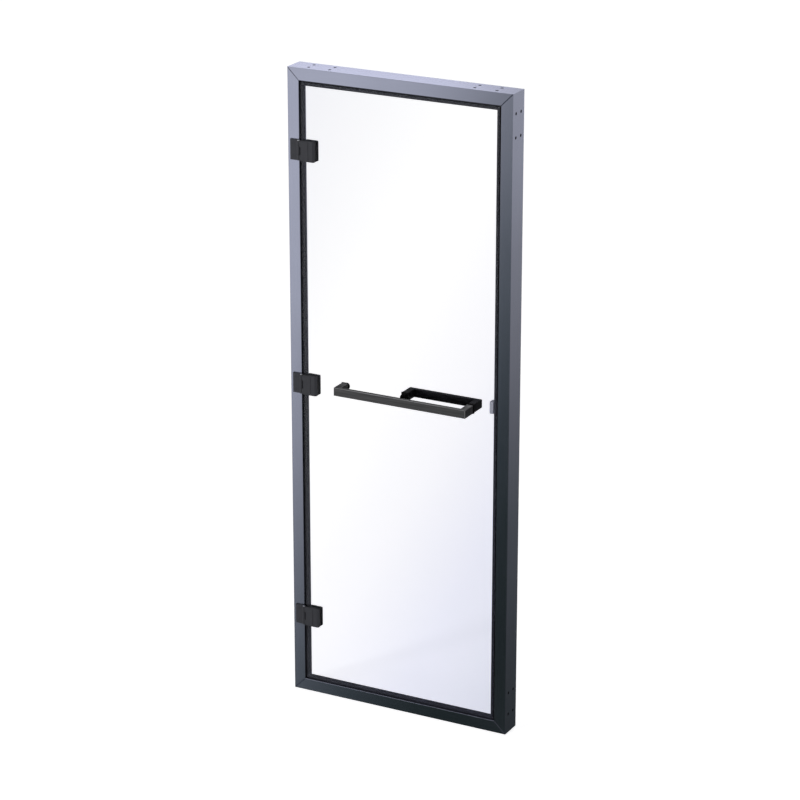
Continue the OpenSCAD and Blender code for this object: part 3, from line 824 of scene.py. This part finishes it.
@dataclass
class Handles:
    """The towel bar outside, the pull handle inside, and what fixes them to the glass.

    The edge radius stays below the corner radius, so that a drawn-in outline doesn't cross itself.
    """

    wardrobe: Wardrobe
    post_width: float = 0.020
    bar_thickness: float = 0.012
    corner_radius: float = 0.0022
    corner_steps: int = 5
    edge_radius: float = 0.0018
    edge_steps: int = 5

    def outline(self, node: str, face: Face) -> np.ndarray:
        """A flat bar on two posts, seen from above.

        Args:
            node: The solid that gives the handle's box.
            face: The face of the glass that the handle stands on.

        Returns:
            The corners in counter-clockwise order, as rows of two.
        """
        low, high = corners(node)
        seat, reach = (high[1], low[1]) if face is Face.OUTSIDE else (low[1], high[1])
        inner = reach - face.value * self.bar_thickness
        left, right = low[0] + self.post_width, high[0] - self.post_width
        bar = [[low[0], seat], [low[0], reach], [high[0], reach], [high[0], seat]]
        gap = [[right, seat], [right, inner], [left, inner], [left, seat]]
        polygon = np.array(bar + gap)
        return polygon if face is Face.OUTSIDE else polygon[::-1]

    def build_bar(self, node: str, face: Face, finish: Coat) -> None:
        """Makes a handle in place of its solid, as an upright prism with soft edges that a painted highlight
        lightens.

        Args:
            node: The solid that the handle stands for.
            face: The face of the glass that the handle stands on.
            finish: The handle's finish.
        """
        low, high = corners(node)
        polygon = self.outline(node, face)
        soft = rounded_outline(polygon, self.corner_radius, self.corner_steps)
        rings = soft_prism(soft, high[2] - low[2], self.edge_radius, self.edge_steps)
        rings += np.array([0.0, 0.0, (low[2] + high[2]) / 2])
        coat = self.wardrobe.finish(finish)
        bar = new_piece(f"{node}_soft", rings, coat, "handle_black", "door_leaf", node)
        # Each point's share of the painted edge highlight.
        edge_highlight = edge_highlight_share(len(polygon), self.corner_steps, self.edge_steps)
        bar.data.attributes.new(PAINTED_HIGHLIGHT, "FLOAT", "POINT").data.foreach_set("value", edge_highlight.ravel())

    def build(self) -> None:
        """Makes both handles and dresses their fixings."""
        self.build_bar("towel_bar", Face.OUTSIDE, HANDLE_BLACK)
        # The inner handle and its cap get the darker copy of the handle's black: painted shade.
        self.build_bar("inner_handle", Face.INSIDE, SHADED_HANDLE_BLACK)
        self.wardrobe.dress(HANDLE_BLACK, "towel_bar_cap")
        self.wardrobe.dress(SHADED_HANDLE_BLACK, "inner_handle_cap")
        self.wardrobe.dress(STEEL, "handle_studs")
        self.wardrobe.dress(NYLON, "handle_sleeves")
        self.wardrobe.dress(GASKET_RUBBER, "handle_rosettes")


@dataclass
class Catch:
    """The magnetic catch on the latch jamb, and its strike on the glass."""

    wardrobe: Wardrobe

    def dress(self) -> None:
        """Gives the housing its grey plastic, the strike its coat, and the magnet and screws their steel."""
        self.wardrobe.dress(CATCH_PLASTIC, "catch_housing")
        self.wardrobe.dress(STRIKE_GREY, "strike_plate")
        self.wardrobe.dress(STEEL, "catch_magnet", "catch_screws")


def stage_panel(name: str, low: Point, high: Point) -> Piece:
    """A flat panel that isn't part of the door.

    Its sides are the two differences between its corners along the axes in which they differ.

    Args:
        name: The panel's name.
        low: The lowest corner.
        high: The highest corner, which shares one coordinate with the lowest.

    Returns:
        The panel's object.
    """
    corner, size = np.array(low), np.array(high) - np.array(low)
    width, height = np.diag(size)[size > 0]
    points = np.stack([corner, corner + width, corner + width + height, corner + height])
    mesh = bpy.data.meshes.new(name)
    mesh.from_pydata(points.tolist(), [], [[0, 1, 2, 3]])
    panel = bpy.data.objects.new(name, mesh)
    bpy.context.scene.collection.objects.link(panel)
    return panel


@dataclass(frozen=True)
class Card:
    """A studio card that only reflections show: a flat panel whose light changes along a direction."""

    name: str
    low: Point
    high: Point
    along: Point
    tones: tuple[Stop, ...]

    def build(self) -> None:
        """Makes the panel and its light."""
        panel = stage_panel(self.name, self.low, self.high)
        shader = Shader(self.name, {})
        light, output = shader.node("ShaderNodeEmission"), shader.tree.nodes["Material Output"]
        shader.tree.links.new(shader.ramp(shader.along(self.along), self.tones), light.inputs["Color"])
        shader.tree.links.new(light.outputs["Emission"], output.inputs["Surface"])
        panel.data.materials.append(shader.material)
        panel.visible_camera = False
        panel.visible_diffuse = False
        panel.visible_transmission = False
        panel.visible_shadow = False


@dataclass(frozen=True)
class Lamp:
    """A soft light from far away, which reflections don't show."""

    name: str
    direction: Point
    strength: float
    softness: float = math.radians(12)

    def build(self) -> None:
        """Makes the light, shining from its direction."""
        light = bpy.data.lights.new(self.name, "SUN")
        light.angle = self.softness
        light.energy = self.strength
        lamp = bpy.data.objects.new(self.name, light)
        lamp.rotation_mode = "QUATERNION"
        lamp.rotation_quaternion = (-Vector(self.direction)).to_track_quat("-Z", "Y")
        lamp.visible_glossy = False
        lamp.visible_transmission = False
        bpy.context.scene.collection.objects.link(lamp)


@dataclass(frozen=True)
class CardRoom:
    """The cards round the door, as walls and a ceiling, with the tones that its metal mirrors.

    The hinge and latch side, the halves and the rear end are places along X. The front, the back, the latch
    side's split and the ceiling's front and back are places along Y. The others are heights.
    """

    front: float = -1.2
    back: float = 1.8
    hinge_side: float = -1.6
    latch_side: float = 0.95
    latch_split: float = -0.2
    bottom: float = -4.0
    front_split: float = 2.0
    rear_split: float = 2.3
    top: float = 4.0
    ceiling: float = 4.4
    front_half: float = 6.0
    rear_end: float = -5.0
    ceiling_half: float = 3.0
    ceiling_front: float = -4.0
    ceiling_back: float = 1.0
    slant: Point = (-1.96, 0.0, 1.0)

    def front_wall(self) -> tuple[Card, ...]:
        """A slanting run of tones before the door's front, and a dim band above it.

        Returns:
            The two cards.
        """
        slanting = (
            (-4.0, grey(0.60)),
            (-1.4, grey(0.30)),
            (-0.8, grey(0.12)),
            (-0.45, (0.034, 0.045, 0.040)),
            (0.45, (0.028, 0.041, 0.035)),
            (1.05, (0.080, 0.100, 0.098)),
            (1.51, (0.215, 0.24, 0.232)),
            (1.98, (0.475, 0.485, 0.48)),
            (2.44, grey(0.82)),
            (2.91, grey(1.08)),
            (3.37, grey(1.09)),
        )
        dim = ((-1.0, grey(0.16)), (1.0, grey(0.30)))
        left, right, y = -self.front_half, self.front_half, self.front
        low, split, high = self.bottom, self.front_split, self.ceiling
        return (
            Card("front_card", (left, y, low), (right, y, split), self.slant, slanting),
            Card("front_top_card", (left, y, split), (right, y, high), X_AXIS, dim),
        )

    def side_walls(self) -> tuple[Card, ...]:
        """Walls that get lighter upwards, of which the latch side's front part is dimmer.

        Returns:
            The two cards of the latch side and the one of the hinge side.
        """
        latch = (
            (-1.6, grey(0.03)),
            (-0.626, (0.042, 0.050, 0.048)),
            (0.215, (0.155, 0.165, 0.165)),
            (0.533, grey(0.28)),
            (0.961, grey(0.43)),
            (1.549, (0.75, 0.75, 0.77)),
            (2.6, grey(0.95)),
        )
        latch_front = ((-1.0, grey(0.05)), (0.75, grey(0.13)), (1.5, grey(0.45)), (2.6, grey(0.80)))
        hinge = ((-1.0, grey(0.12)), (0.5, grey(0.36)), (2.0, grey(0.85)), (3.0, grey(0.95)))
        walls = (
            ("latch_side_card", self.latch_side, self.latch_split, self.back, latch),
            ("latch_front_card", self.latch_side, self.front, self.latch_split, latch_front),
            ("hinge_side_card", self.hinge_side, self.front, self.back, hinge),
        )
        return tuple(
            Card(name, (x, y_low, self.bottom), (x, y_high, self.top), Z_AXIS, tones)
            for name, x, y_low, y_high, tones in walls
        )

    def rear_wall(self) -> tuple[Card, ...]:
        """A dim wall behind the door, and a bright band above it for the head's top face.

        Returns:
            The two cards.
        """
        dim = (
            (-1.5, grey(0.10)),
            (0.0, grey(0.22)),
            (0.8, grey(0.42)),
            (1.5, grey(0.26)),
            (2.3, grey(0.26)),
        )
        bright = (
            (-1.0, (1.46, 1.47, 1.68)),
            (-0.75, (1.40, 1.41, 1.60)),
            (-0.45, (0.85, 0.86, 0.95)),
            (0.5, grey(0.5)),
        )
        left, right, y = self.rear_end, self.latch_side, self.back
        low, split, high = self.bottom, self.rear_split, self.top
        return (
            Card("rear_card", (left, y, low), (right, y, split), Z_AXIS, dim),
            Card("rear_top_card", (left, y, split), (right, y, high), X_AXIS, bright),
        )

    def ceiling_panel(self) -> Card:
        """A ceiling that is dark before the door and light over it.

        Returns:
            The card.
        """
        tones = (
            (-4.0, grey(0.40)),
            (-2.2, grey(0.12)),
            (-1.7, grey(0.15)),
            (-1.3, grey(0.70)),
            (1.0, grey(0.90)),
        )
        low = (-self.ceiling_half, self.ceiling_front, self.ceiling)
        high = (self.ceiling_half, self.ceiling_back, self.ceiling)
        return Card("ceiling_card", low, high, Y_AXIS, tones)

    def build(self) -> None:
        """Sets up all cards."""
        for card in (*self.front_wall(), *self.side_walls(), *self.rear_wall(), self.ceiling_panel()):
            card.build()


@dataclass(frozen=True)
class Studio:
    """Floor, light, reflection cards and camera. None of it is part of the door.

    The camera's focal length is given as a share of its sensor's width.
    """

    aim: Point = (0.006, -0.035, 0.972)
    yaw: float = math.radians(27.84)
    pitch: float = math.radians(19.55)
    distance: float = 8.537
    focal_share: float = 3.759
    view_depth: float = 200.0
    floor_half: float = 60.0
    floor_glow: float = 0.88
    floor_colour: Colour = (0.85, 0.85, 0.85)
    ambient: float = 0.05
    surround: float = 0.05
    lamps: tuple[Lamp, ...] = (
        Lamp("key_light", (-2.8, -6.0, 0.7), 2.2),
        Lamp("fill_light", (3.6, -5.4, 1.2), 0.15),
        Lamp("rear_light", (-1.5, 5.4, 0.7), 1.8),
    )
    cards: CardRoom = CardRoom()

    def build_world(self) -> None:
        """White where it is seen, dim where it is mirrored, and a plain soft light otherwise.

        The strength is ambient + seen * (1 - ambient) + mirrored * (surround - ambient).
        """
        world = bpy.data.worlds.new("studio_air")
        bpy.context.scene.world = world
        world.use_nodes = True
        nodes = Nodes(world.node_tree)
        seen, mirrored = nodes.sight()
        bright = nodes.math("MULTIPLY", seen, 1.0 - self.ambient)
        dim = nodes.math("MULTIPLY", mirrored, self.surround - self.ambient)
        strength = nodes.math("ADD", self.ambient, nodes.math("ADD", bright, dim))
        air = world.node_tree.nodes["Background"]
        air.inputs["Color"].default_value = (1.0, 1.0, 1.0, 1.0)
        world.node_tree.links.new(strength, air.inputs["Strength"])

    def build_floor(self) -> None:
        """A pale floor that comes out white where it is lit, and keeps the door's soft shadow."""
        half = self.floor_half
        floor = stage_panel("floor", (-half, -half, 0.0), (half, half, 0.0))
        floor.visible_glossy = False
        sockets = {
            "Base Color": (*self.floor_colour, 1.0),
            "Roughness": 1.0,
            "Specular IOR Level": 0.0,
            "Emission Color": (1.0, 1.0, 1.0, 1.0),
        }
        shader = Shader("pale_floor", sockets)
        seen, _ = shader.sight()
        shader.feed(shader.math("MULTIPLY", seen, self.floor_glow), "Emission Strength")
        floor.data.materials.append(shader.material)

    def build_camera(self) -> None:
        """The camera at the door's right, looking down on it.

        It lies at its distance from the aim, along the direction that yaw turns from the front towards the
        latch side and pitch lifts.
        """
        flat = math.cos(self.pitch)
        back = Vector((math.sin(self.yaw) * flat, -math.cos(self.yaw) * flat, math.sin(self.pitch)))
        data = bpy.data.cameras.new("camera")
        data.lens = self.focal_share * data.sensor_width
        data.clip_end = self.view_depth
        camera = bpy.data.objects.new("camera", data)
        camera.location = Vector(self.aim) + back * self.distance
        camera.rotation_mode = "QUATERNION"
        camera.rotation_quaternion = (-back).to_track_quat("-Z", "Y")
        bpy.context.scene.collection.objects.link(camera)
        bpy.context.scene.camera = camera

    def build(self) -> None:
        """Sets up the whole studio."""
        bpy.context.scene.view_settings.view_transform = "Standard"
        self.build_world()
        self.build_floor()
        for lamp in self.lamps:
            lamp.build()
        self.cards.build()
        self.build_camera()


def main() -> None:
    """Loads the frame, dresses the door and sets up the studio."""
    logging.basicConfig(level=logging.INFO, format="%(name)s: %(message)s")
    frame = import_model()
    wardrobe = Wardrobe(frame["nodes"])
    Frame(wardrobe).dress()
    Seal(wardrobe).build()
    Hinges(wardrobe).dress()
    Glass(wardrobe).dress()
    Handles(wardrobe).build()
    Catch(wardrobe).dress()
    Studio().build()


if __name__ == "__main__":
    main()
